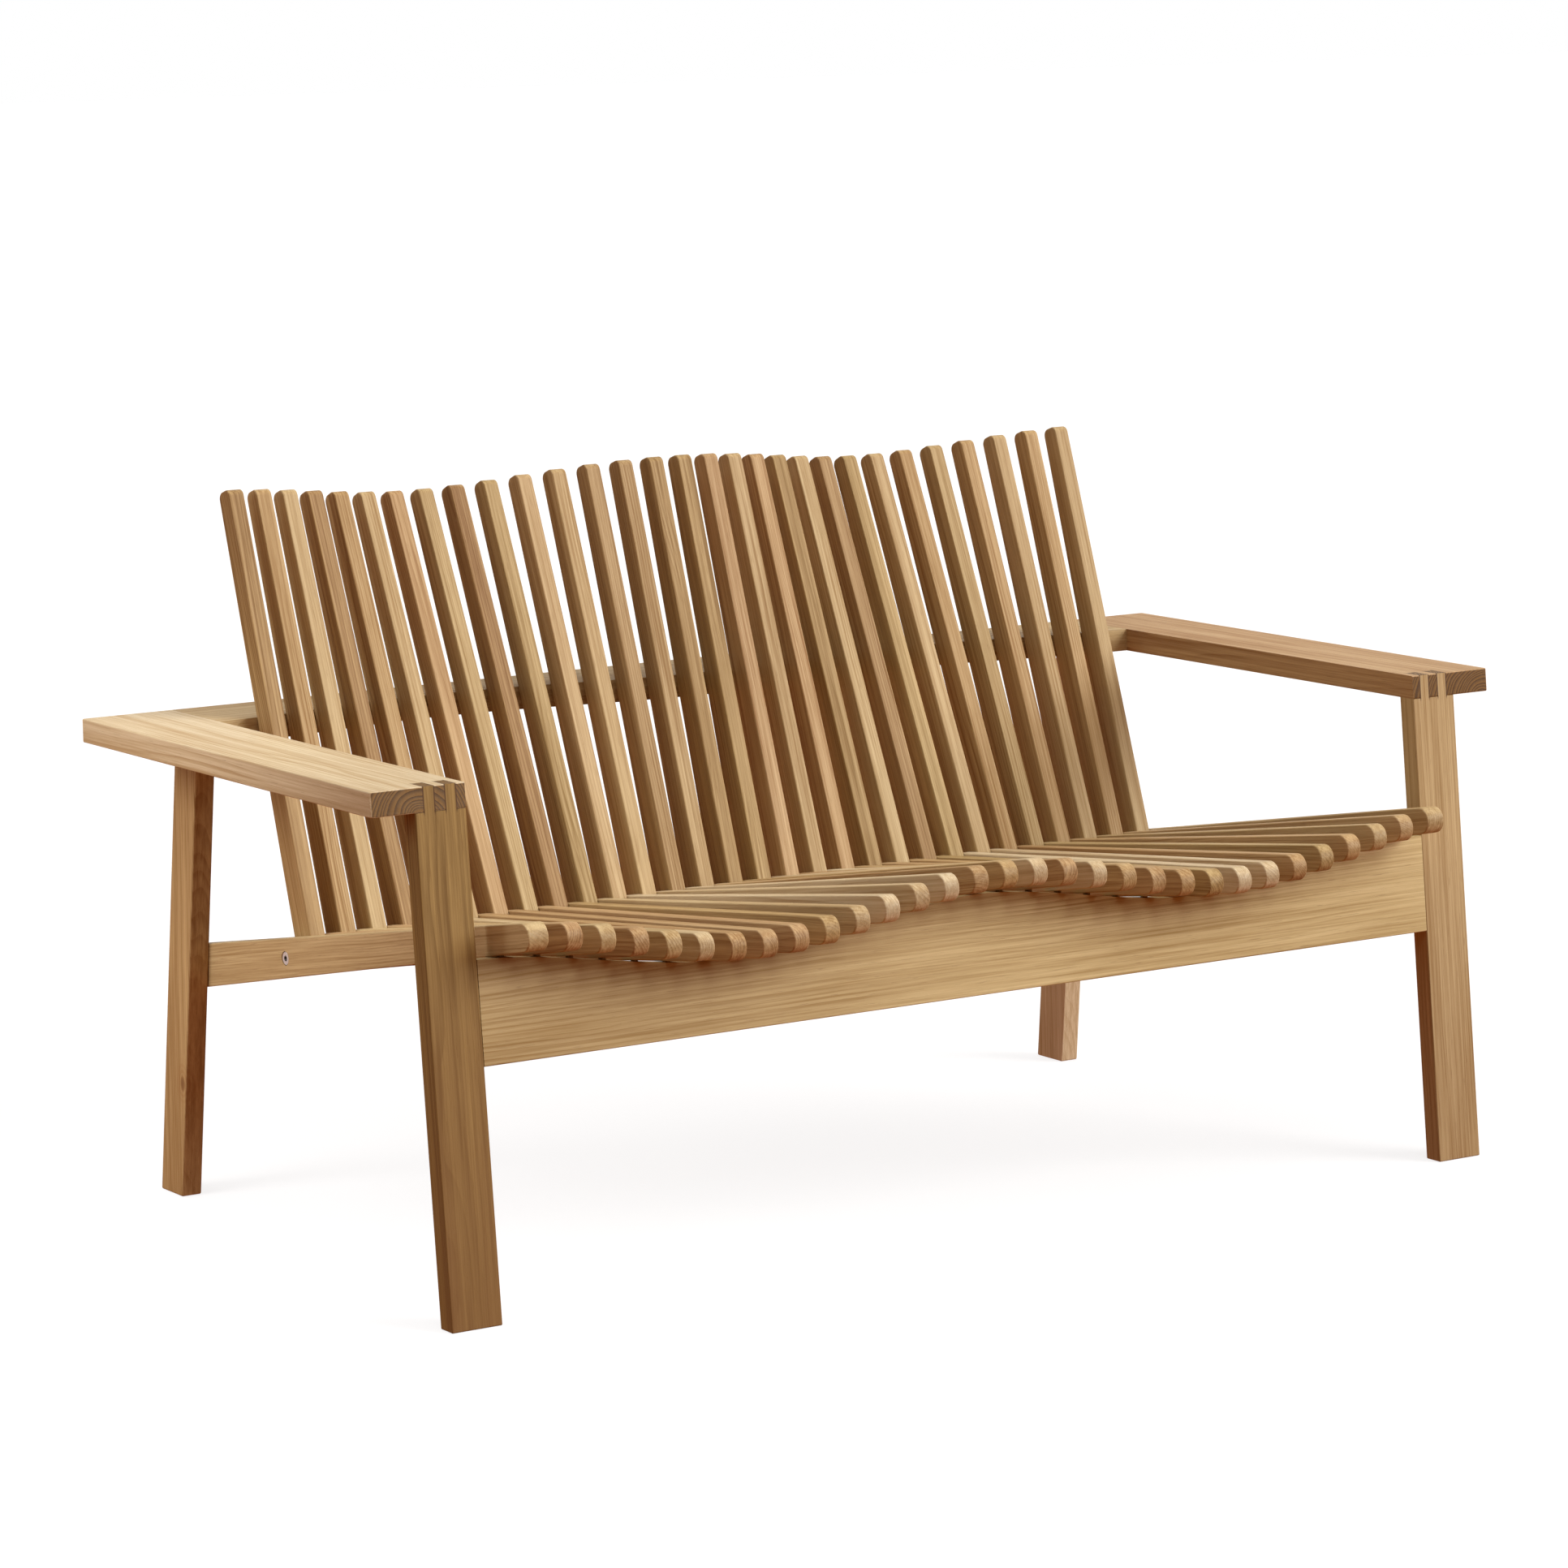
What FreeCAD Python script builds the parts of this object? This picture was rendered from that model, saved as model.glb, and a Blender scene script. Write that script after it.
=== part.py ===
import FreeCAD, Part

import math
import os

from FreeCAD import Placement, Rotation, Vector

# Two-seat slatted garden bench in solid teak, millimetres, +Z up.
# The front of the seat looks along -Y. "left" is the -X side, the left hand of someone facing the bench.
# Everything below is laid out from the middle of the armrests' length (y = 0) and the floor (z = 0);
# save() then shifts the bench so that its origin is the middle of its own footprint, on the floor.

# ---- driving dimensions ----
WIDTH = 1500.0            # over the outer edges of the armrests
ARM_LENGTH = 682.0
ARM_WIDTH = 113.0
ARM_THICK = 27.0
ARM_TOP = 572.0           # height of the armrests above the floor

LEG_THICK = 25.0          # front legs, measured along y
FRONT_LEG_WIDTH = 61.0    # front legs, measured along x
FRONT_RAKE = 5.4          # degrees, feet forward
REAR_LEG_DEPTH = 53.2     # rear legs, measured along y
REAR_LEG_THICK = 25.3     # rear legs, measured along x
REAR_LEG_INSET = 5.6      # rear legs' tops ahead of the back rail's rear edge
REAR_RAKE = 6.2           # degrees, feet backward
REAR_SPLAY = 0.8          # degrees, feet outward

APRON_BOTTOM = 273.0      # height of the front rail's lower edge

SLAT_THICK = 19.1
SLAT_PITCH = 39.86        # seat slat to seat slat; the back slats stand halfway between
SEAT_SLATS = 31           # counting the two side rails, which are the first and the last
BACK_SLATS = 30
SIDE_RAIL_THICK = 24.2    # thicker than the slats between them
SIDE_RAIL_OUTER = 613.7   # outer face of the side rails

ROD_Y = 121.6             # the steel rod that every slat is threaded on
ROD_Z = 312.0
ROD_DIAMETER = 12.0

SEAT_REACH = 541.2        # rod to the centre of the rounded nose
SEAT_NOSE_R = 15.3
SEAT_ROOT_R = 22.4        # half the slat's height at the rod
SEAT_TILT = 8.87          # degrees, mean rise of the seat towards its front edge
SEAT_SWING = 2.14         # degrees, the seat's wave: more at the crests, less in the hollows
SIDE_RAIL_TAIL = 240.0    # how far a side rail runs on behind the rod, onto the rear leg

BACK_LENGTH = 539.0       # rod to the top of a back slat
BACK_ROOT_R = 19.8        # half a back slat's depth at the rod
BACK_TOP_DEPTH = 25.7     # a back slat's depth at its top
BACK_TOP_R = 8.5
BACK_LEAN = 22.03         # degrees from upright
BACK_SWING = 3.68         # degrees, the backrest's wave

EASE = 1.5                # rounding of long edges
ARM_CORNER = 3.0          # rounding of the armrests' outer corners
FOOT_EASE = 2.0

COMB = (11.0, 13.0, 13.0, 13.0, 11.0)  # comb joint, from the inner side: arm, leg, arm, leg, arm over leg
DOWEL_DIAMETER = 8.0
DOWEL_IN_RAIL = 16.0
DOWEL_IN_SLAT = 14.0
TENON_THICK = 10.0
APRON_TENON = (84.0, 28.0)     # height, length
BACK_TENON = (76.0, 32.0)      # width, length
REAR_LEG_TENON = (12.0, 32.0, 16.0)
SCREW_DIAMETER = 5.0
SCREW_HEAD = 9.6
SCREW_SPREAD = 13.0
BOLT_HEAD = (15.5, 3.0)        # diameter, thickness
BOLT_SHANK = (6.0, 14.0)
BOLT_SOCKET = (6.0, 2.4)       # across flats, depth
CLEARANCE = 0.2                # round pegs in round holes, on diameter
SEAT_GAP = 0.15                # daylight left where a slat rests on a sawn edge

# ---- derived dimensions ----
INNER = WIDTH / 2 - ARM_WIDTH                 # inner edge of an armrest
ARM_UNDER = ARM_TOP - ARM_THICK
ARM_FRONT = -ARM_LENGTH / 2                   # at the armrest's underside
ARM_REAR = ARM_LENGTH / 2
FRONT_SLOPE = math.tan(math.radians(FRONT_RAKE))
REAR_SLOPE = math.tan(math.radians(REAR_RAKE))
FOOT_FRONT = ARM_FRONT - ARM_UNDER * FRONT_SLOPE
SPLAY_SLOPE = math.tan(math.radians(REAR_SPLAY))
REAR_LEG_TOP = ARM_REAR - REAR_LEG_INSET      # rear face of a rear leg at its top
FOOT_REAR = REAR_LEG_TOP + ARM_UNDER * REAR_SLOPE
SIDE_RAIL_X = SIDE_RAIL_OUTER - SIDE_RAIL_THICK / 2
WAVE = INNER                                  # crest to crest: two hollows, one per seat
APRON_THICK = LEG_THICK * math.cos(math.radians(FRONT_RAKE))
HOLE = DOWEL_DIAMETER + CLEARANCE


def seat_x(number):
    """Middle of seat slat 1..31 along the bench; the side rails are the first and the last."""
    if number in (1, SEAT_SLATS):
        return math.copysign(SIDE_RAIL_X, number - 2)
    return (number - (SEAT_SLATS + 1) / 2) * SLAT_PITCH


def back_x(number):
    """Middle of back slat 1..30 along the bench."""
    return (number - (BACK_SLATS + 1) / 2) * SLAT_PITCH


def crest(x):
    """1 at the ends and the middle of the bench, -1 in the two hollows."""
    return math.cos(2 * math.pi * x / WAVE)


def seat_tilt(x):
    return math.radians(SEAT_TILT + SEAT_SWING * crest(x))


def back_lean(x):
    return math.radians(BACK_LEAN - BACK_SWING * crest(x))


def slope_room(height, x):
    """How far a square slat's lower corner dips below a sloping edge at x, to keep the edge clear."""
    half = SLAT_THICK / 2
    return abs(height(x + half) - height(x - half)) / 2 + SEAT_GAP


# ---- shapes ----
def outline(circles):
    """Face in the YZ plane, stretched like a belt round circles (y, z, r), anticlockwise seen from +X."""
    count = len(circles)
    turns = []
    for (y1, z1, r1), (y2, z2, r2) in zip(circles, circles[1:] + circles[:1]):
        dy, dz = y2 - y1, z2 - z1
        turns.append(math.atan2(dz, dy) - math.acos((r1 - r2) / math.hypot(dy, dz)))
    arcs = []
    for i, (y, z, r) in enumerate(circles):
        first, last = turns[i - 1], turns[i]
        while last < first:
            last += 2 * math.pi
        arcs.append([Vector(0, y + r * math.cos(a), z + r * math.sin(a))
                     for a in (first, (first + last) / 2, last)])
    edges = []
    for i, arc in enumerate(arcs):
        edges.append(Part.Arc(*arc).toShape())
        edges.append(Part.makeLine(arc[2], arcs[(i + 1) % count][0]))
    return Part.Face(Part.Wire(edges))


def board(face, x_middle, thick, ease=EASE):
    """A face in the YZ plane made into a board about x_middle, its edges on both sides eased."""
    solid = face.extrude(Vector(thick, 0, 0))
    solid.translate(Vector(x_middle - thick / 2, 0, 0))
    sides = [x_middle - thick / 2, x_middle + thick / 2]
    rims = [e for e in solid.Edges if any(all(abs(v.X - s) < 1e-6 for v in e.Vertexes) for s in sides)]
    return solid.makeFillet(ease, rims)


def prism(points, x0, x1):
    """A polygon of (y, z) points, extruded from x0 to x1."""
    ring = [Vector(x0, y, z) for y, z in points]
    return Part.Face(Part.makePolygon(ring + ring[:1])).extrude(Vector(x1 - x0, 0, 0))


def block(x0, x1, y0, y1, z0, z1):
    return Part.makeBox(x1 - x0, y1 - y0, z1 - z0, Vector(x0, y0, z0))


def peg(diameter, start, end):
    """A straight round bar from start to end."""
    return Part.makeCylinder(diameter / 2, (end - start).Length, start, end - start)


def eased(solid, radius, pick):
    """The solid with the edges that pick() accepts rounded."""
    return solid.makeFillet(radius, [e for e in solid.Edges if pick(e)])


def runs_along(edge, axis, share=0.9):
    """Whether an edge runs mainly along an axis."""
    a, b = edge.Vertexes[0].Point, edge.Vertexes[-1].Point
    return abs((b - a).dot(axis)) > share * (b - a).Length > 0


def at_height(edge, z):
    return all(abs(v.Z - z) < 1e-6 for v in edge.Vertexes)


def mirrored(shape):
    return shape.mirror(Vector(0, 0, 0), Vector(1, 0, 0))


# ---- the slats' side views, with the rod at (0, 0) ----
TAPER = math.asin((SEAT_ROOT_R - SEAT_NOSE_R) / SEAT_REACH)


def seat_face():
    """Seat slat: rounded about the rod at the rear and to a smaller round nose in front."""
    return outline([(-SEAT_REACH, 0, SEAT_NOSE_R), (0, 0, SEAT_ROOT_R)])


def side_rail_face():
    """Side rail: the seat slat's two edges run straight on behind the rod to a square end."""
    corner = 3.0
    tail = SIDE_RAIL_TAIL - corner
    half = (SEAT_ROOT_R - corner) / math.cos(TAPER) + tail * math.tan(TAPER)
    return outline([(-SEAT_REACH, 0, SEAT_NOSE_R), (tail, -half, corner), (tail, half, corner)])


def back_face():
    """Back slat, upright: flat front face, rear face closing in towards the top, both top corners round."""
    shoulder = BACK_LENGTH - BACK_TOP_R
    return outline([
        (0, 0, BACK_ROOT_R),
        (BACK_TOP_DEPTH - BACK_ROOT_R - BACK_TOP_R, shoulder, BACK_TOP_R),
        (BACK_TOP_R - BACK_ROOT_R, shoulder, BACK_TOP_R),
    ])


def on_rod(shape, degrees):
    """Turn a slat about the rod and carry it to the rod's place."""
    turn = Placement(Vector(0, ROD_Y, ROD_Z), Rotation(Vector(1, 0, 0), degrees))
    return shape.transformGeometry(turn.toMatrix())


def seat_underside(x, y):
    """Height of the lower edge of a seat slat at x, ahead of the rod."""
    angle = seat_tilt(x) + TAPER
    start_y = ROD_Y - SEAT_ROOT_R * math.sin(angle)
    start_z = ROD_Z - SEAT_ROOT_R * math.cos(angle)
    return start_z + (start_y - y) * math.tan(angle)


def back_rear_face(x, z):
    """How far back the rear face of a back slat at x stands, at height z."""
    lean = back_lean(x)
    closing = (2 * BACK_ROOT_R - BACK_TOP_DEPTH) / (BACK_LENGTH - BACK_TOP_R)
    along = (z - ROD_Z + BACK_ROOT_R * math.sin(lean)) / (math.cos(lean) + closing * math.sin(lean))
    return ROD_Y + along * math.sin(lean) + (BACK_ROOT_R - closing * along) * math.cos(lean)


# ---- the front rail: a board in the plane of the raked front legs ----
UP_APRON = Vector(0, math.sin(math.radians(FRONT_RAKE)), math.cos(math.radians(FRONT_RAKE)))
THROUGH_APRON = Vector(0, UP_APRON.z, -UP_APRON.y)


def apron_point(x, up, through):
    """A point of the front rail: up its front face from the floor, and through its thickness."""
    return Vector(x, FOOT_FRONT, 0) + UP_APRON * up + THROUGH_APRON * through


def apron_meets_slat(x):
    """Distance up the board at which its rear upper edge would touch the seat slat at x."""
    angle = seat_tilt(x) + TAPER
    level = seat_underside(x, FOOT_FRONT + THROUGH_APRON.y * APRON_THICK)
    return (level - THROUGH_APRON.z * APRON_THICK) / (UP_APRON.z + UP_APRON.y * math.tan(angle))


def apron_top(x):
    """Distance up the board of its sawn wavy edge."""
    return apron_meets_slat(x) - slope_room(apron_meets_slat, x)


def rail_meets_slat(x):
    """Where the back slat at x would touch the back rail's upper front edge."""
    return back_rear_face(x, ARM_TOP)


def rail_front(x):
    """The back rail's sawn wavy front edge."""
    return rail_meets_slat(x) + slope_room(rail_meets_slat, x)


def wave_points(height, step=SLAT_PITCH / 2):
    """Points of a wavy edge from one armrest to the other, as (x, height)."""
    spans = round(2 * INNER / step)
    xs = [-INNER + 2 * INNER * i / spans for i in range(spans + 1)]
    return [(x, height(x)) for x in xs]


def spline(points):
    curve = Part.BSplineCurve()
    curve.interpolate(points)
    return curve.toShape()


def front_rail():
    low = APRON_BOTTOM / UP_APRON.z
    top = spline([apron_point(x, up, 0) for x, up in wave_points(apron_top)])
    left, right = apron_point(-INNER, low, 0), apron_point(INNER, low, 0)
    ends = [top.Vertexes[0].Point, top.Vertexes[-1].Point]
    wire = Part.Wire([Part.makeLine(left, right), Part.makeLine(right, ends[1]), top,
                      Part.makeLine(ends[0], left)])
    rail = Part.Face(wire).extrude(THROUGH_APRON * APRON_THICK)
    lower = [e for e in rail.Edges if runs_along(e, Vector(1, 0, 0)) and e.BoundBox.ZMax < APRON_BOTTOM + 5]
    rail = rail.makeFillet(EASE, lower)
    return rail.fuse([apron_tenon(side) for side in (-1, 1)]).removeSplitter()


def apron_tenon(side, spare=0.0):
    """The stub on an end of the front rail, or with spare the mortise that it goes into."""
    height, length = APRON_TENON
    start = APRON_BOTTOM / UP_APRON.z + 12.0
    corner = apron_point(0, start, (APRON_THICK - TENON_THICK) / 2)
    stub = Part.makeBox(length + spare, TENON_THICK, height)
    tilt = Rotation(Vector(1, 0, 0), -FRONT_RAKE)
    x0 = INNER if side > 0 else -INNER - length - spare
    return stub.transformGeometry(Placement(Vector(x0, corner.y, corner.z), tilt).toMatrix())


def seat_dowel(number, spare=0.0):
    """The dowel between a seat slat and the front rail, or with spare its hole."""
    x = seat_x(number)
    start = apron_point(x, apron_top(x) - DOWEL_IN_RAIL - spare, APRON_THICK / 2)
    end = apron_point(x, apron_top(x) + DOWEL_IN_SLAT + spare, APRON_THICK / 2)
    return peg(HOLE if spare else DOWEL_DIAMETER, start, end)


# ---- the back rail, level with the armrests ----
def back_tenon(side, spare=0.0):
    """The stub on an end of the back rail, or with spare the mortise in the armrest."""
    width, length = BACK_TENON
    middle_z = ARM_TOP - ARM_THICK / 2
    x0, x1 = sorted((side * INNER, side * (INNER + length + spare)))
    y1 = ARM_REAR - 20.0
    return block(x0, x1, y1 - width, y1, middle_z - TENON_THICK / 2, middle_z + TENON_THICK / 2)


def back_rail():
    front = spline([Vector(x, y, ARM_UNDER) for x, y in wave_points(rail_front)])
    ends = [front.Vertexes[0].Point, front.Vertexes[-1].Point]
    corners = [Vector(side * INNER, ARM_REAR, ARM_UNDER) for side in (-1, 1)]
    wire = Part.Wire([front, Part.makeLine(ends[1], corners[1]), Part.makeLine(*corners),
                      Part.makeLine(corners[0], ends[0])])
    rail = Part.Face(wire).extrude(Vector(0, 0, ARM_THICK))
    rail = eased(rail, EASE, lambda e: all(abs(v.Y - ARM_REAR) < 1e-6 for v in e.Vertexes)
                 and runs_along(e, Vector(1, 0, 0)))
    return rail.fuse([back_tenon(side) for side in (-1, 1)]).removeSplitter()


def back_dowel(number, spare=0.0):
    """The dowel between a back slat and the back rail, or with spare its hole."""
    x = back_x(number)
    z = ARM_TOP - ARM_THICK / 2
    start = Vector(x, back_rear_face(x, z) - DOWEL_IN_SLAT - spare, z)
    end = Vector(x, rail_front(x) + DOWEL_IN_RAIL + spare, z)
    return peg(HOLE if spare else DOWEL_DIAMETER, start, end)


# ---- legs and armrests, made on the +X side ----
def comb_edges():
    """x of the comb joint's steps, from the armrest's inner edge to the leg's outer face."""
    steps = [INNER]
    for width in COMB:
        steps.append(steps[-1] + width)
    return steps


def front_leg():
    """Raked board whose two tongues pass up through the armrest's front end."""
    top = [(ARM_FRONT + ARM_THICK * FRONT_SLOPE + dy, ARM_TOP) for dy in (LEG_THICK, 0)]
    foot = [(FOOT_FRONT + dy, 0) for dy in (0, LEG_THICK)]
    leg = prism(foot + top, INNER, INNER + FRONT_LEG_WIDTH)
    leg = eased(leg, EASE, lambda e: runs_along(e, UP_APRON) or at_height(e, 0))
    steps = comb_edges()
    for x0, x1 in zip(steps[0::2], steps[1::2]):
        leg = leg.cut(block(x0, x1, ARM_FRONT - 5, ARM_FRONT + LEG_THICK + 9, ARM_UNDER, ARM_TOP + 1))
    return leg.cut(apron_tenon(1, 0.5))


def arm():
    """Flat board with its front end cut to the legs' rake and slotted for the leg's tongues."""
    lean = ARM_THICK * FRONT_SLOPE
    side = [(ARM_FRONT, ARM_UNDER), (ARM_REAR, ARM_UNDER), (ARM_REAR, ARM_TOP), (ARM_FRONT + lean, ARM_TOP)]
    rest = prism(side, INNER, WIDTH / 2)
    rest = eased(rest, ARM_CORNER, lambda e: runs_along(e, Vector(0, 0, 1))
                 and abs(e.Vertexes[0].X - WIDTH / 2) < 1e-6)
    rest = eased(rest, EASE, lambda e: e.BoundBox.XMax > INNER + 10 and not runs_along(e, Vector(0, 0, 1))
                 and e.BoundBox.YMax > ARM_FRONT + 20
                 and (at_height(e, ARM_TOP) or at_height(e, ARM_UNDER)))
    steps = comb_edges()
    slot_end = ARM_FRONT + LEG_THICK
    slot = [(ARM_FRONT - 5, ARM_UNDER - 1), (slot_end - FRONT_SLOPE, ARM_UNDER - 1),
            (slot_end + (ARM_THICK + 1) * FRONT_SLOPE, ARM_TOP + 1), (ARM_FRONT - 5, ARM_TOP + 1)]
    for x0, x1 in zip(steps[1::2], steps[2::2]):
        rest = rest.cut(prism(slot, x0, x1))
    return rest.cut(back_tenon(1, 0.5))


def rear_leg_x(z):
    """Inner and outer face of a rear leg at height z; it meets the side rail at the rail's upper edge."""
    angle = seat_tilt(SIDE_RAIL_X) - TAPER
    back = rear_leg_y(ROD_Z)[0] - ROD_Y - SEAT_ROOT_R * math.sin(angle)
    touch = ROD_Z + SEAT_ROOT_R * math.cos(angle) - back * math.tan(angle)
    inner = SIDE_RAIL_OUTER + (touch - z) * SPLAY_SLOPE
    return inner, inner + REAR_LEG_THICK


def rear_leg_y(z):
    """Front and rear face of a rear leg at height z."""
    rear = REAR_LEG_TOP + (ARM_UNDER - z) * REAR_SLOPE
    return rear - REAR_LEG_DEPTH, rear


def rear_leg_tenon(spare=0.0):
    """The stub on top of a rear leg, or with spare the mortise in the back rail."""
    width, depth, height = REAR_LEG_TENON
    x_middle, y_middle = sum(rear_leg_x(ARM_UNDER)) / 2, sum(rear_leg_y(ARM_UNDER)) / 2
    return block(x_middle - width / 2, x_middle + width / 2, y_middle - depth / 2, y_middle + depth / 2,
                 ARM_UNDER - 1, ARM_UNDER + height + spare)


def rear_leg():
    """Raked, slightly splayed post under the end of the back rail; the side rail laps its inner face."""
    rings = []
    for z in (0, ARM_UNDER):
        (x0, x1), (y0, y1) = rear_leg_x(z), rear_leg_y(z)
        ring = [Vector(x0, y0, z), Vector(x1, y0, z), Vector(x1, y1, z), Vector(x0, y1, z)]
        rings.append(Part.makePolygon(ring + ring[:1]))
    leg = Part.makeLoft(rings, True, True)
    leg = eased(leg, FOOT_EASE, lambda e: runs_along(e, Vector(0, 0, 1)) or at_height(e, 0))
    return leg.fuse(rear_leg_tenon()).cut(lap_screws(CLEARANCE))


def lap_screws(spare=0.0):
    """The two countersunk screws through the side rail into the rear leg, or with spare their holes."""
    inner_face = SIDE_RAIL_OUTER - SIDE_RAIL_THICK
    length = SIDE_RAIL_THICK + 18.0
    head, shank = (SCREW_HEAD + spare) / 2, (SCREW_DIAMETER + spare) / 2
    screws = []
    for rise in (-SCREW_SPREAD, SCREW_SPREAD):
        tilt = seat_tilt(SIDE_RAIL_X)
        middle_z = ROD_Z - (SIDE_RAIL_TAIL - 22.0) * math.sin(tilt) + rise
        middle_y = sum(rear_leg_y(middle_z)) / 2
        start = Vector(inner_face, middle_y, middle_z)
        along = Vector(1, 0, 0)
        cone = Part.makeCone(head, shank, head - shank, start, along)
        stem = Part.makeCylinder(shank, length + 2 * spare, start, along)
        screws.append(cone.fuse(stem).removeSplitter())
    return screws


# ---- slats ----
def rod_hole(x):
    half = SIDE_RAIL_THICK
    return peg(ROD_DIAMETER + 2 * CLEARANCE, Vector(x - half, ROD_Y, ROD_Z), Vector(x + half, ROD_Y, ROD_Z))


def seat_slat(number):
    x = seat_x(number)
    slat = on_rod(board(seat_face(), x, SLAT_THICK), -math.degrees(seat_tilt(x)))
    return slat.cut([rod_hole(x), seat_dowel(number, 0.5)])


def back_slat(number):
    x = back_x(number)
    slat = on_rod(board(back_face(), x, SLAT_THICK), -math.degrees(back_lean(x)))
    return slat.cut([rod_hole(x), back_dowel(number, 0.5)])


def side_rail():
    """The +X side rail: the last seat slat, bored for the rod's bolt and screwed to the rear leg."""
    rail = board(side_rail_face(), SIDE_RAIL_X, SIDE_RAIL_THICK)
    rail = on_rod(rail, -math.degrees(seat_tilt(SIDE_RAIL_X)))
    diameter, thick = BOLT_HEAD
    sink = Vector(SIDE_RAIL_OUTER - thick - 0.5, ROD_Y, ROD_Z)
    recess = peg(diameter + 1.0, sink, sink + Vector(thick + 1.0, 0, 0))
    return rail.cut([rod_hole(SIDE_RAIL_X), recess, seat_dowel(SEAT_SLATS, 0.5)] + lap_screws(CLEARANCE))


# ---- the rod and its bolts ----
def rod_end():
    return SIDE_RAIL_OUTER - BOLT_HEAD[1] - 2.5


def pivot_rod():
    """Steel rod through every slat, bored and tapped at both ends."""
    rod = peg(ROD_DIAMETER, Vector(-rod_end(), ROD_Y, ROD_Z), Vector(rod_end(), ROD_Y, ROD_Z))
    rims = [e for e in rod.Edges
            if abs(abs(e.BoundBox.XMin) - rod_end()) < 1e-6 and e.BoundBox.XLength < 1e-3]
    rod = rod.makeChamfer(0.6, rims)
    diameter, depth = BOLT_SHANK
    for side in (-1, 1):
        start = Vector(side * rod_end(), ROD_Y, ROD_Z)
        rod = rod.cut(peg(diameter + CLEARANCE, start, start - Vector(side * (depth + 1), 0, 0)))
    return rod


def rod_screw():
    """Flat-headed bolt with a hexagon socket, sunk in the +X side rail."""
    diameter, thick = BOLT_HEAD
    shank, depth = BOLT_SHANK
    flats, socket = BOLT_SOCKET
    inside = Vector(SIDE_RAIL_OUTER - thick - 0.5, ROD_Y, ROD_Z)
    outside = inside + Vector(thick, 0, 0)
    head = peg(diameter, inside, outside)
    head = head.makeChamfer(0.6, [e for e in head.Edges if e.BoundBox.XMin > outside.x - 1e-3])
    bolt = head.fuse(peg(shank, inside - Vector(depth, 0, 0), inside))
    corners = [Vector(outside.x - socket, ROD_Y + flats / math.sqrt(3) * math.cos(a),
                      ROD_Z + flats / math.sqrt(3) * math.sin(a))
               for a in (math.radians(60 * i + 30) for i in range(6))]
    hexagon = Part.Face(Part.makePolygon(corners + corners[:1])).extrude(Vector(socket + 1, 0, 0))
    return bolt.cut(hexagon)


# ---- output ----
def foremost():
    """The furthest forward that any nose reaches."""
    reach = max(SEAT_REACH * math.cos(seat_tilt(seat_x(n))) for n in range(1, SEAT_SLATS + 1))
    return ROD_Y - reach - SEAT_NOSE_R


SHIFT = Vector(0, -(foremost() + FOOT_REAR) / 2, 0)


def save(name, solids):
    """Write one node: a single solid, or a group of alike ones."""
    placed = []
    for solid in solids:
        copy = solid.copy()
        copy.translate(SHIFT)
        placed.extend(copy.Solids)
    if len(placed) != len(solids) or not all(s.isValid() for s in placed):
        raise ValueError(name + ": expected %d valid solids, got %d" % (len(solids), len(placed)))
    shape = placed[0] if len(placed) == 1 else Part.makeCompound(placed)
    shape.exportStep("parts/" + name + ".step")


def save_pair(name, solid):
    save(name + "_right", [solid])
    save(name + "_left", [mirrored(solid)])


os.makedirs("parts", exist_ok=True)

save_pair("arm", arm())
save_pair("leg_front", front_leg())
save_pair("leg_rear", rear_leg())
save_pair("side_rail", side_rail())
save_pair("rod_screw", rod_screw())
save("pivot_rod", [pivot_rod()])
save("leg_screws_right", lap_screws())
save("leg_screws_left", [mirrored(screw) for screw in lap_screws()])

save("front_rail", [front_rail().cut([seat_dowel(n, 0.5) for n in range(1, SEAT_SLATS + 1)])])
save("back_rail", [back_rail().cut([back_dowel(n, 0.5) for n in range(1, BACK_SLATS + 1)]
                                   + [rear_leg_tenon(0.5), mirrored(rear_leg_tenon(0.5))])])
save("seat_dowels", [seat_dowel(n) for n in range(1, SEAT_SLATS + 1)])
save("back_dowels", [back_dowel(n) for n in range(1, BACK_SLATS + 1)])

# Neighbouring slats share a node, two by two; the middle seat slat has one of its own.
MIDDLE = (SEAT_SLATS + 1) // 2
save("seat_slat_%02d" % MIDDLE, [seat_slat(MIDDLE)])
for n in list(range(2, MIDDLE, 2)) + list(range(MIDDLE + 1, SEAT_SLATS, 2)):
    save("seat_slats_%02d_%02d" % (n, n + 1), [seat_slat(n), seat_slat(n + 1)])
for n in range(1, BACK_SLATS, 2):
    save("back_slats_%02d_%02d" % (n, n + 1), [back_slat(n), back_slat(n + 1)])
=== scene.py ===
import math

import bpy
from mathutils import Matrix, Vector

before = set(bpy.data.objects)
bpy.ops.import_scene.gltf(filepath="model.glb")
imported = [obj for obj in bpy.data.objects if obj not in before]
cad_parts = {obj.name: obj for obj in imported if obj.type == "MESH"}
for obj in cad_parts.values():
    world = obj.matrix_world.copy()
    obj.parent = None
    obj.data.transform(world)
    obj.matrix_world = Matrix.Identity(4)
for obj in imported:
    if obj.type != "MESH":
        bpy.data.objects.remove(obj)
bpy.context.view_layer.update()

# ---- the bench's own layout, in metres, as the CAD has it ----
SLAT_PITCH = 0.03986
WAVE = 0.637                  # crest to crest of the seat's and the backrest's wave
ROD = (0.0, 0.13988, 0.312)
SEAT_TILT, SEAT_SWING = math.radians(8.87), math.radians(2.14)
BACK_LEAN, BACK_SWING = math.radians(22.03), math.radians(3.68)
FRONT_RAKE, REAR_RAKE = math.radians(5.4), math.radians(6.2)
COMB_STEPS = (0.648, 0.661, 0.674, 0.687)
ARM_TIP = -0.3205             # the armrests' front ends


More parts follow.
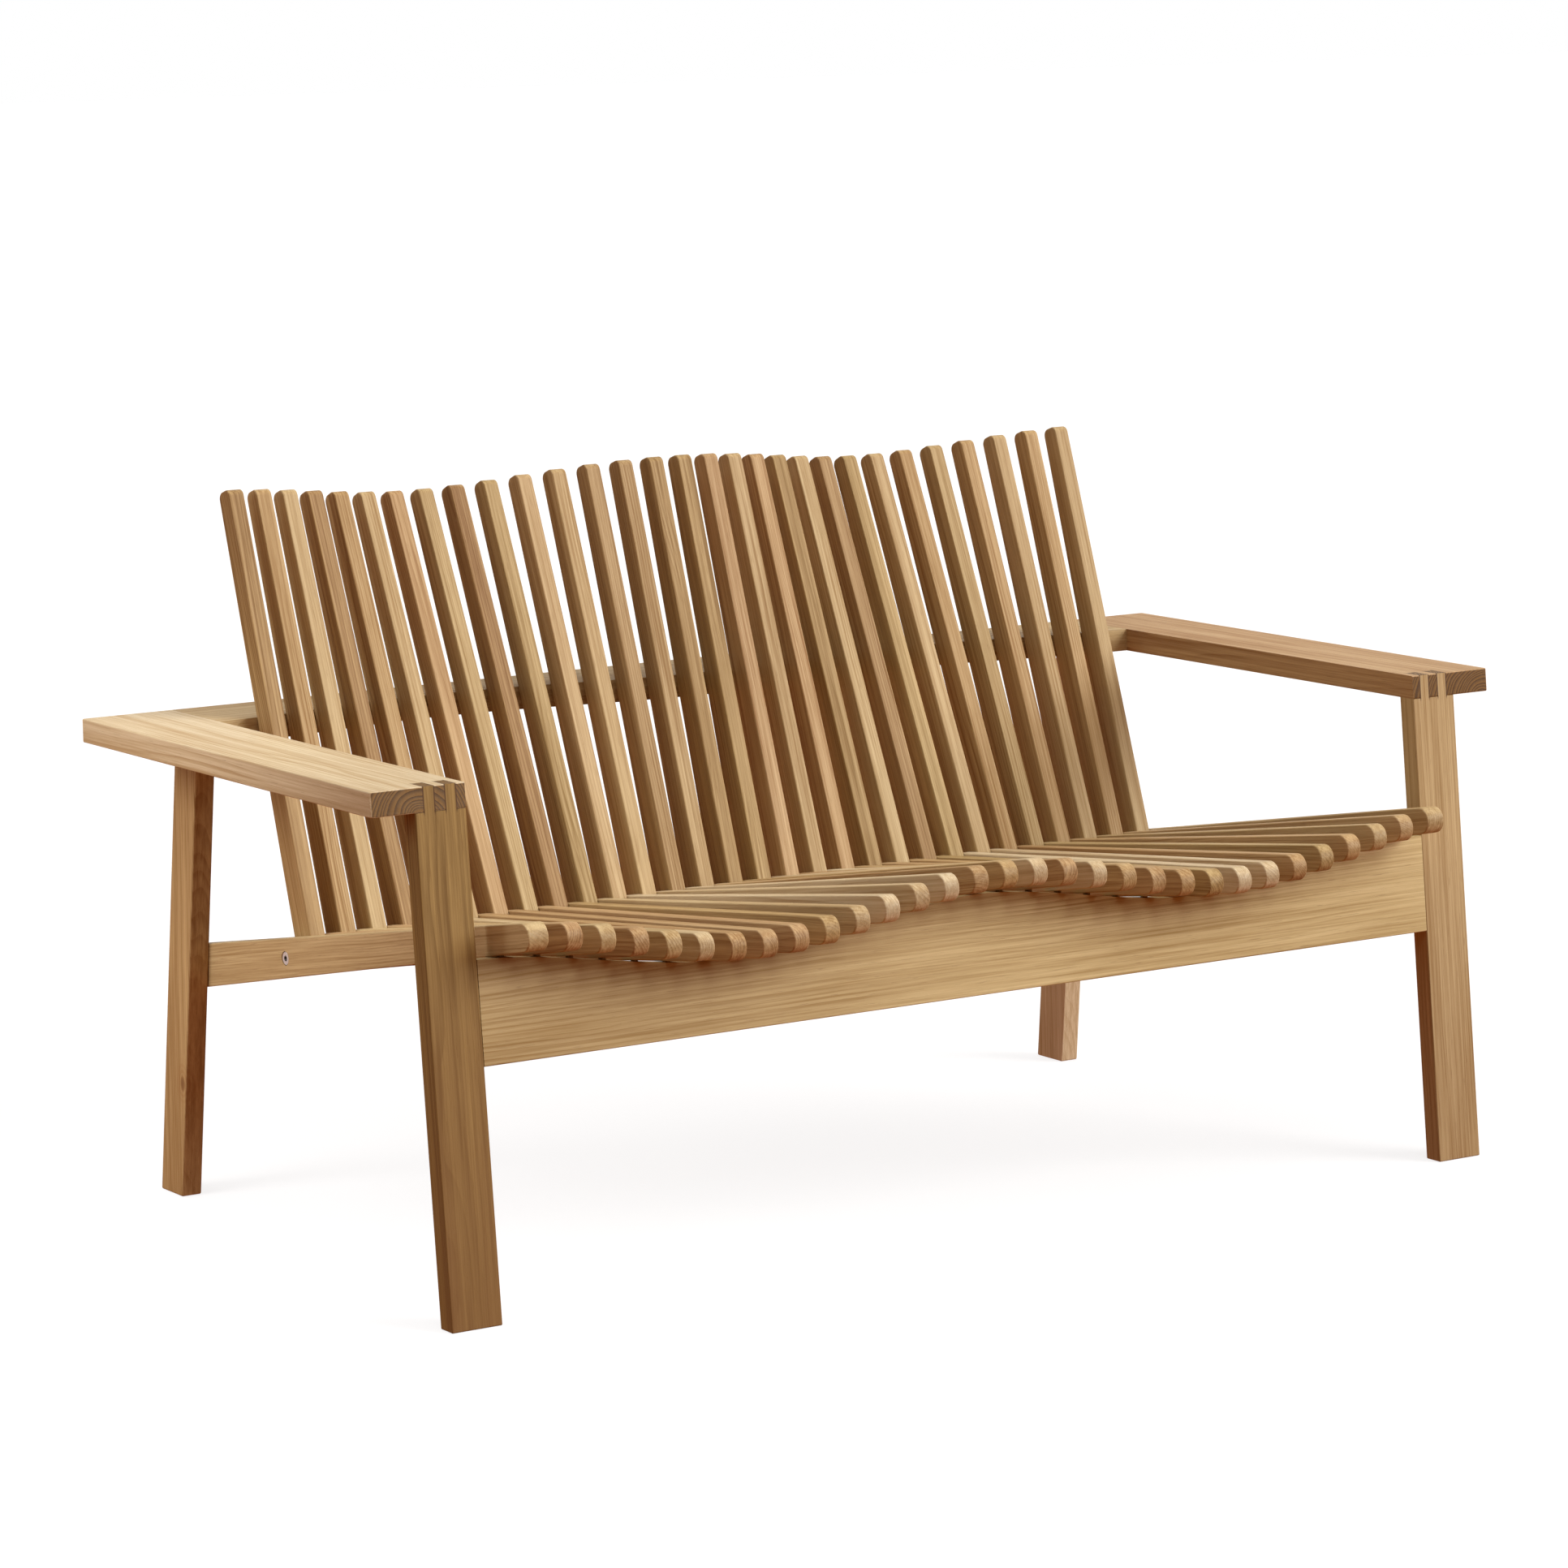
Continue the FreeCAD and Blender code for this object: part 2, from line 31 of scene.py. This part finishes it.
# ---- node building ----
class Tree:
    """A node tree with short calls: each returns an output socket, and takes sockets or constants."""

    def __init__(self, tree):
        self.tree = tree
        tree.nodes.clear()

    def add(self, kind, inputs=(), out=0, **settings):
        node = self.tree.nodes.new(kind)
        for key, value in settings.items():
            setattr(node, key, value)
        for key, value in dict(inputs).items():
            if isinstance(value, bpy.types.NodeSocket):
                self.tree.links.new(value, node.inputs[key])
            else:
                node.inputs[key].default_value = value
        return node.outputs[out] if len(node.outputs) else None

    def math(self, operation, a, b=0.0, c=0.0):
        return self.add("ShaderNodeMath", {0: a, 1: b, 2: c}, operation=operation)

    def vec(self, operation, a, b=(0.0, 0.0, 0.0)):
        out = 1 if operation in ("DOT_PRODUCT", "LENGTH", "DISTANCE") else 0
        return self.add("ShaderNodeVectorMath", {0: a, 1: b}, out, operation=operation)

    def scaled(self, vector, factor):
        return self.add("ShaderNodeVectorMath", {0: vector, "Scale": factor}, operation="SCALE")

    def join(self, x, y, z):
        return self.add("ShaderNodeCombineXYZ", {0: x, 1: y, 2: z})

    def part(self, vector, axis):
        return self.add("ShaderNodeSeparateXYZ", {0: vector}, axis)

    def noise(self, vector, scale=1.0, detail=2.0, rough=0.5, out=0):
        return self.add("ShaderNodeTexNoise", {"Vector": vector, "Scale": scale, "Detail": detail,
                                               "Roughness": rough}, out)

    def random(self, value):
        """Three random numbers from one."""
        return self.add("ShaderNodeTexWhiteNoise", {"W": value}, 1, noise_dimensions="1D")

    def span(self, value, low, high, to_low=0.0, to_high=1.0):
        """value's way from low to high, eased, as a number from to_low to to_high."""
        return self.add("ShaderNodeMapRange", {"Value": value, 1: low, 2: high, 3: to_low, 4: to_high},
                        interpolation_type="SMOOTHSTEP")

    def mix(self, factor, a, b):
        return self.add("ShaderNodeMix", {0: factor, 6: a, 7: b}, 2, data_type="RGBA")

    def ramp(self, value, stops):
        socket = self.add("ShaderNodeValToRGB", {0: value})
        elements = socket.node.color_ramp.elements
        while len(elements) < len(stops):
            elements.new(0.5)
        for element, (place, colour) in zip(elements, stops):
            element.position, element.color = place, colour
        return socket


def srgb(r, g, b):
    """An sRGB colour, 0 to 255, as a linear colour with alpha."""
    channels = [c / 255 for c in (r, g, b)]
    return tuple(c / 12.92 if c <= 0.04045 else ((c + 0.055) / 1.055) ** 2.4 for c in channels) + (1.0,)


# ---- teak ----
# Each tone is (light wood, dark wood).
TONES = {
    # the palest tone: the seat slats' own wood, and painted light on the left arm and the rear right leg
    "palest_and_painted_light": (srgb(214, 197, 163), srgb(172, 144, 104)),
    "pale": (srgb(199, 175, 130), srgb(150, 119, 74)),
    "tan": (srgb(193, 164, 116), srgb(142, 107, 62)),
    "olive": (srgb(187, 160, 110), srgb(134, 106, 60)),
    "pink": (srgb(191, 158, 114), srgb(142, 103, 63)),
    "brown": (srgb(175, 142, 94), srgb(121, 85, 47)),
    # a darker tone that is painted shade, for the front-left leg
    "painted_shade_tone": (srgb(166, 136, 80), srgb(112, 84, 40)),
    "yellow": (srgb(208, 187, 137), srgb(159, 131, 79)),
}


# The second colour here is painted shade, laid towards one end of some pieces.
PORE, PAINTED_SHADE_COLOUR, GLUE = srgb(104, 66, 34), srgb(112, 76, 38), srgb(70, 42, 22)
KNOT_HALO, KNOT_EYE = srgb(150, 104, 60), srgb(108, 68, 36)
END_LIGHT, END_DARK, END_MOTTLE = srgb(124, 88, 34), srgb(60, 37, 10), srgb(84, 56, 22)


def tone(t, pick, names, shade):
    """The light wood (shade 0) or dark wood (shade 1) of one of the named tones, by pick."""
    if len(names) == 1:
        return TONES[names[0]][shade]
    return t.ramp(pick, [((i + 0.5) / len(names), TONES[key][shade]) for i, key in enumerate(names)])


def teak(name, grain, across, seed, tones, wave=None, rings=0.0034, pith=(0.05, 0.02), knots=(),
         seams=False, painted_shade=None):
    """Oiled teak: growth rings round a pith line, long streaks, fine fibres and open pores along the grain.

    grain and across are directions in the row frame. wave is (mean, swing, offset) for a row of slats, each
    turned about the rod and cut from its own place in the log. The last argument gives (axis, dark end,
    clear end, strength) of painted shade, a darkening towards one end where less light falls; the dark end
    is the lower number.
    """
    material = bpy.data.materials.new(name)
    material.use_nodes = True
    t = Tree(material.node_tree)
    place = t.add("ShaderNodeTexCoord", out=3)
    x = t.part(place, 0)
    if wave:
        mean, swing, offset = wave
        cell = t.math("ROUND", t.math("ADD", t.math("DIVIDE", x, SLAT_PITCH), offset))
        wave_height = t.math("COSINE", t.math("MULTIPLY", x, 2 * math.pi / WAVE))
        angle = t.math("MULTIPLY_ADD", wave_height, swing, mean)
        local = t.add("ShaderNodeVectorRotate", {"Vector": place, "Center": ROD, "Angle": angle},
                      rotation_type="X_AXIS")
        piece = t.math("ADD", cell, seed)
    else:
        local, piece = place, seed
    luck = t.random(piece)
    luck_more = t.random(t.math("ADD", 71.3, piece))
    through = Vector(across).cross(Vector(grain))
    u = t.vec("DOT_PRODUCT", local, tuple(grain))
    v = t.vec("DOT_PRODUCT", local, tuple(across))
    w = t.vec("DOT_PRODUCT", local, tuple(through))
    if wave:
        w = t.math("SUBTRACT", w, t.math("MULTIPLY", t.math("SUBTRACT", cell, offset), SLAT_PITCH))
    section = t.join(v, w, 0.0)
    stuff = t.vec("ADD", t.join(v, w, u), t.scaled(luck, 9.0))

    def stretched(cross_scale, along_scale, **how):
        return t.noise(t.vec("MULTIPLY", stuff, (cross_scale, cross_scale, along_scale)), **how)

    # growth rings: distance from a wandering pith line, unevenly spaced
    wander = t.vec("SUBTRACT", stretched(9.0, 1.6, detail=2.0, out=1), (0.5, 0.5, 0.5))
    wander_fine = t.vec("SUBTRACT", stretched(40.0, 6.0, detail=2.0, out=1), (0.5, 0.5, 0.5))
    centre = t.vec("MULTIPLY", t.vec("SUBTRACT", luck_more, (0.5, 0.5, 0.5)), (0.10, 0.10, 0.0))
    centre = t.vec("ADD", centre, (pith[0], pith[1], 0.0))
    bent = t.vec("ADD", t.vec("ADD", section, centre), t.scaled(wander, 0.030))
    bent = t.vec("MULTIPLY", t.vec("ADD", bent, t.scaled(wander_fine, 0.0025)), (1.0, 1.0, 0.0))
    radius = t.vec("LENGTH", bent)
    uneven = t.noise(t.join(t.math("MULTIPLY", radius, 60.0), piece, 0.0), detail=1.0)
    phase = t.math("ADD", t.math("DIVIDE", radius, rings), t.math("MULTIPLY", uneven, 4.0))
    saw = t.math("FRACT", phase)
    late = t.math("MULTIPLY", t.span(saw, 0.25, 0.92), t.span(saw, 0.93, 1.0, 1.0, 0.0))
    figure = t.math("MULTIPLY", late, t.span(stretched(28.0, 3.0), 0.30, 0.68))

    # long streaks, fibres and pores
    streak = t.span(stretched(46.0, 1.7, detail=3.0, rough=0.6), 0.30, 0.72)
    broad = t.span(stretched(9.0, 1.3, detail=1.0), 0.32, 0.68)
    fibre = stretched(620.0, 9.0, detail=4.0, rough=0.68)
    thread = t.span(stretched(210.0, 2.4, detail=2.0, rough=0.6), 0.34, 0.66)
    pore = t.span(stretched(1500.0, 42.0, detail=1.0), 0.63, 0.74)
    pore = t.math("MULTIPLY", pore, t.span(saw, 0.0, 0.6, 1.0, 0.35))

    # colour
    pick = t.part(luck, 0)
    light = tone(t, pick, tones, 0)
    dark = tone(t, pick, tones, 1)
    strand = t.span(fibre, 0.32, 0.68)
    depth = -0.14
    for marks, weight in ((streak, 0.30), (figure, 0.40), (broad, 0.20), (thread, 0.34), (strand, 0.34)):
        depth = t.math("MULTIPLY_ADD", marks, weight, depth)
    depth = t.math("MAXIMUM", depth, 0.0)
    colour = t.mix(depth, light, dark)
    colour = t.mix(t.math("MULTIPLY", pore, 0.42), colour, PORE)
    bump = t.math("MULTIPLY_ADD", pore, -0.8, t.math("MULTIPLY", fibre, 0.5))
    bump = t.math("MULTIPLY_ADD", late, -0.35, bump)

    # knots: a dark core with the wood swirling round it
    for spot, size in knots:
        away = t.vec("MULTIPLY", t.vec("SUBTRACT", place, spot), (1.0, 1.0, 0.6))
        reach = t.math("ADD", t.vec("LENGTH", away), t.math("MULTIPLY", t.part(wander_fine, 0), 0.006))
        eye = t.span(reach, size * 0.35, size, 1.0, 0.0)
        halo = t.math("MULTIPLY", t.span(reach, size * 0.8, size * 2.6, 1.0, 0.0),
                      t.span(t.math("SINE", t.math("MULTIPLY", reach, 1500.0)), -1.0, 1.0, 0.2, 1.0))
        colour = t.mix(t.math("MULTIPLY", halo, 0.45), colour, KNOT_HALO)
        colour = t.mix(t.math("MULTIPLY", eye, 0.75), colour, KNOT_EYE)

    # painted shade: darker towards one end, standing in for the shade low on the legs and at the front
    # rail's left end
    if painted_shade:
        axis, dark_end, clear_end, strength = painted_shade
        painted_shade_amount = t.span(t.part(place, axis), dark_end, clear_end, strength, 0.0)
        painted_shade_amount = t.math("MULTIPLY", painted_shade_amount, t.span(streak, 0.0, 1.0, 0.75, 1.0))
        colour = t.mix(painted_shade_amount, colour, PAINTED_SHADE_COLOUR)

    # sawn ends: darker, with the rings plain to see
    facing = t.add("ShaderNodeNewGeometry", out=1)
    if wave:
        turn = {"Vector": facing, "Center": (0.0, 0.0, 0.0), "Angle": angle}
        facing = t.add("ShaderNodeVectorRotate", turn, rotation_type="X_AXIS")
    end = t.span(t.math("ABSOLUTE", t.vec("DOT_PRODUCT", facing, tuple(grain))), 0.80, 0.99)
    end_wood = t.mix(t.span(saw, 0.1, 0.95), END_LIGHT, END_DARK)
    end_wood = t.mix(t.math("MULTIPLY", t.noise(place, 700.0, 3.0), 0.5), end_wood, END_MOTTLE)
    colour = t.mix(t.math("MULTIPLY", end, 0.92 if not wave else 0.30), colour, end_wood)

    # glue lines of the comb joints
    if seams:
        aside = t.math("ABSOLUTE", x)
        near = 1.0
        for step in COMB_STEPS:
            near = t.math("MINIMUM", near, t.math("ABSOLUTE", t.math("SUBTRACT", aside, step)))
        line = t.math("MULTIPLY", t.span(near, 0.0004, 0.0013, 1.0, 0.0),
                      t.span(t.part(place, 1), ARM_TIP + 0.024, ARM_TIP + 0.030, 1.0, 0.0))
        line = t.math("MULTIPLY", line, t.span(t.part(place, 2), 0.540, 0.546))
        colour = t.mix(t.math("MULTIPLY", line, 0.75), colour, GLUE)

    rough = t.math("MULTIPLY_ADD", depth, 0.16, t.math("MULTIPLY_ADD", fibre, 0.14, 0.40))
    normal = t.add("ShaderNodeBump", {"Height": bump, "Strength": 0.35, "Distance": 0.0006})
    shader = t.add("ShaderNodeBsdfPrincipled", {"Base Color": colour, "Roughness": rough, "Normal": normal,
                                                "IOR": 1.46, "Specular IOR Level": 0.26})
    t.add("ShaderNodeOutputMaterial", {"Surface": shader})
    return material


def steel(name, tint, roughness, turned):
    """Satin stainless steel; turned is a lathe-faced bolt head on the rod's axis, with painted shade in its
    socket and round its rim.
    """
    material = bpy.data.materials.new(name)
    material.use_nodes = True
    t = Tree(material.node_tree)
    place = t.add("ShaderNodeTexCoord", out=3)
    off_axis = t.vec("MULTIPLY", t.vec("SUBTRACT", place, ROD), (0.0, 1.0, 1.0))
    radius = t.vec("LENGTH", off_axis)
    ridges = t.math("SINE", t.math("MULTIPLY", radius, 9000.0 if turned else 2500.0))
    scratch = t.noise(t.vec("MULTIPLY", place, (160.0, 2200.0, 2200.0)), detail=3.0)
    stain = t.span(t.noise(place, 160.0, 3.0), 0.45, 0.75)
    colour = t.mix(t.math("MULTIPLY", stain, 0.35), tint, srgb(120, 112, 104))
    if turned:
        # painted shade: near-black in the socket's hollow, and a dark ring round the head's rim for the
        # shade of its counterbore
        colour = t.mix(t.span(radius, 0.0028, 0.0036, 0.95, 0.0), colour, srgb(26, 22, 20))
        colour = t.mix(t.span(radius, 0.0068, 0.0077, 0.0, 0.7), colour, srgb(58, 50, 44))
    rough = t.math("MULTIPLY_ADD", scratch, 0.22, t.math("MULTIPLY_ADD", stain, 0.12, roughness))
    height = t.math("MULTIPLY_ADD", ridges, 0.3, scratch)
    normal = t.add("ShaderNodeBump", {"Height": height, "Strength": 0.2, "Distance": 0.0002})
    shader = t.add("ShaderNodeBsdfPrincipled", {"Base Color": colour, "Metallic": 0.8, "Roughness": rough,
                                                "Normal": normal})
    t.add("ShaderNodeOutputMaterial", {"Surface": shader})
    return material


ALONG, UP, BACK = (1.0, 0.0, 0.0), (0.0, 0.0, 1.0), (0.0, 1.0, 0.0)
FORWARD = (0.0, -1.0, 0.0)
UP_FRONT_LEG = (0.0, math.sin(FRONT_RAKE), math.cos(FRONT_RAKE))
UP_REAR_LEG = (0.0, -math.sin(REAR_RAKE), math.cos(REAR_RAKE))

GROUND_PAINTED_SHADE = (2, 0.0, 0.50)       # painted shade over a leg's lower part

LOOKS = {
    # the left arm's palest tone is partly painted sheen, paling its top
    "arm_left": teak("teak_arm_left", BACK, ALONG, 3.0, ["palest_and_painted_light"], pith=(0.735, -0.50), rings=0.0042,
                     seams=True),
    "arm_right": teak("teak_arm_right", BACK, ALONG, 5.0, ["pink"], pith=(-0.72, -0.51), rings=0.0040,
                      seams=True),
    # the front-left leg's darker tone and its darkening towards the foot are painted shade
    "leg_front_left": teak("teak_leg_fl", UP_FRONT_LEG, ALONG, 11.0, ["painted_shade_tone"], pith=(0.70, -0.27),
                           seams=True, painted_shade=(2, 0.0, 0.60, 0.75)),
    "leg_front_right": teak("teak_leg_fr", UP_FRONT_LEG, ALONG, 13.0, ["pale"], pith=(-0.62, -0.29),
                            seams=True, painted_shade=GROUND_PAINTED_SHADE + (0.35,)),
    "leg_rear_left": teak("teak_leg_rl", UP_REAR_LEG, BACK, 17.0, ["tan"], pith=(-0.40, 0.66),
                          knots=[((-0.6398, 0.352, 0.135), 0.008)], painted_shade=GROUND_PAINTED_SHADE + (0.2,)),
    # the rear right leg's palest tone is painted light, lifting it out of its shade
    "leg_rear_right": teak("teak_leg_rr", UP_REAR_LEG, BACK, 19.0, ["palest_and_painted_light"], pith=(-0.42, -0.60)),
    # painted shade: the front rail darkens towards its left end
    "front_rail": teak("teak_front_rail", ALONG, UP, 23.0, ["yellow"], pith=(0.10, 0.15), rings=0.0060,
                       painted_shade=(0, -0.66, 0.30, 0.42)),
    "back_rail": teak("teak_back_rail", ALONG, BACK, 29.0, ["pale"], pith=(-0.33, 0.60), rings=0.0050),
    "side_rail_": teak("teak_side_rail", FORWARD, UP, 31.0, ["pale"], pith=(-0.29, 0.06),
                       wave=(SEAT_TILT, SEAT_SWING, 0.0)),
    "seat_slat": teak("teak_seat", FORWARD, UP, 43.0,
                      ["pale", "palest_and_painted_light", "tan", "pink", "pale", "olive", "tan"],
                      pith=(-0.27, 0.06), wave=(SEAT_TILT, SEAT_SWING, 0.0)),
    "back_slats": teak("teak_back", UP, BACK, 87.0,
                       ["tan", "pink", "pale", "olive", "brown", "pale", "tan"],
                       pith=(-0.09, 0.06), wave=(BACK_LEAN, -BACK_SWING, 0.5)),
    "seat_dowels": teak("dowel_seat", UP, ALONG, 53.0, ["pale"]),
    "back_dowels": teak("dowel_back", BACK, ALONG, 59.0, ["pale"]),
    "pivot_rod": steel("steel_rod", srgb(190, 190, 188), 0.28, False),
    "rod_screw": steel("steel_bolt", srgb(228, 228, 227), 0.34, True),
    "leg_screws": steel("steel_screw", srgb(196, 194, 188), 0.30, False),
}

for node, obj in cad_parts.items():
    look = next(material for start, material in LOOKS.items() if node.startswith(start))
    obj.data.materials.clear()
    obj.data.materials.append(look)
    for polygon in obj.data.polygons:
        polygon.material_index = 0


# ---- floor, light, camera ----
def floor():
    bpy.ops.mesh.primitive_plane_add(size=80.0, location=(0.0, 0.0, -0.0005))
    plane = bpy.context.object
    plane.name = "floor"
    material = bpy.data.materials.new("floor_white")
    material.use_nodes = True
    t = Tree(material.node_tree)
    matte = t.add("ShaderNodeBsdfDiffuse", {"Color": (0.25, 0.25, 0.25, 1.0)})
    glow = t.add("ShaderNodeEmission", {"Color": (1.0, 1.0, 1.0, 1.0), "Strength": 0.80})
    seen = t.add("ShaderNodeAddShader", {0: matte, 1: glow})
    bounce = t.add("ShaderNodeEmission", {"Color": (0.39, 0.120, 0.034, 1.0)})
    camera_ray = t.add("ShaderNodeLightPath").node.outputs["Is Camera Ray"]
    surface = t.add("ShaderNodeMixShader", {0: camera_ray, 1: bounce, 2: seen})
    t.add("ShaderNodeOutputMaterial", {"Surface": surface})
    plane.data.materials.append(material)


def lamp(kind, name, energy, toward, angle, place=(0.0, 0.0, 3.0), size=None):
    """A light that shines along toward; angle is a sun's width or a soft box's beam, in degrees."""
    data = bpy.data.lights.new(name, kind)
    data.energy = energy
    if size:
        data.shape, data.size, data.size_y = "RECTANGLE", size[0], size[1]
        data.spread = math.radians(angle)
        data.specular_factor = 0.3
    else:
        data.angle = math.radians(angle)
    light = bpy.data.objects.new(name, data)
    light.location = place
    light.visible_camera = False
    light.rotation_euler = Vector(toward).to_track_quat("-Z", "Y").to_euler()
    bpy.context.scene.collection.objects.link(light)


floor()
lamp("SUN", "key", 1.0 * math.pi, (-0.58, 0.68, -0.45), angle=36)
lamp("SUN", "overhead", 0.72 * math.pi, (0.1, 0.05, -1.0), angle=80)
lamp("AREA", "side", 2.2, (1.0, -0.07, -0.58), angle=60, place=(-1.75, 0.26, 0.78), size=(0.7, 0.9))

world = bpy.data.worlds.new("studio")
world.use_nodes = True
w = Tree(world.node_tree)
rays = w.add("ShaderNodeLightPath").node.outputs
reflected = w.mix(rays["Is Glossy Ray"], (1.0, 1.0, 1.0, 1.0), (0.85, 0.85, 0.85, 1.0))
sky = w.mix(rays["Is Diffuse Ray"], reflected, (0.096, 0.041, 0.016, 1.0))
w.add("ShaderNodeOutputWorld", {"Surface": w.add("ShaderNodeBackground", {"Color": sky})})
bpy.context.scene.world = world
bpy.context.scene.view_settings.view_transform = "Standard"

camera = bpy.data.objects.new("camera", bpy.data.cameras.new("camera"))
camera.data.lens = 124.48
camera.data.sensor_width = 36.0
camera.data.clip_end = 200.0
camera.matrix_world = (Matrix.Translation((-3.39007, -5.19836, 1.44523)) @ Matrix.Rotation(-0.5734, 4, "Z")
                       @ Matrix.Rotation(1.4146, 4, "X") @ Matrix.Rotation(-0.0154, 4, "Z"))
bpy.context.scene.collection.objects.link(camera)
bpy.context.scene.camera = camera
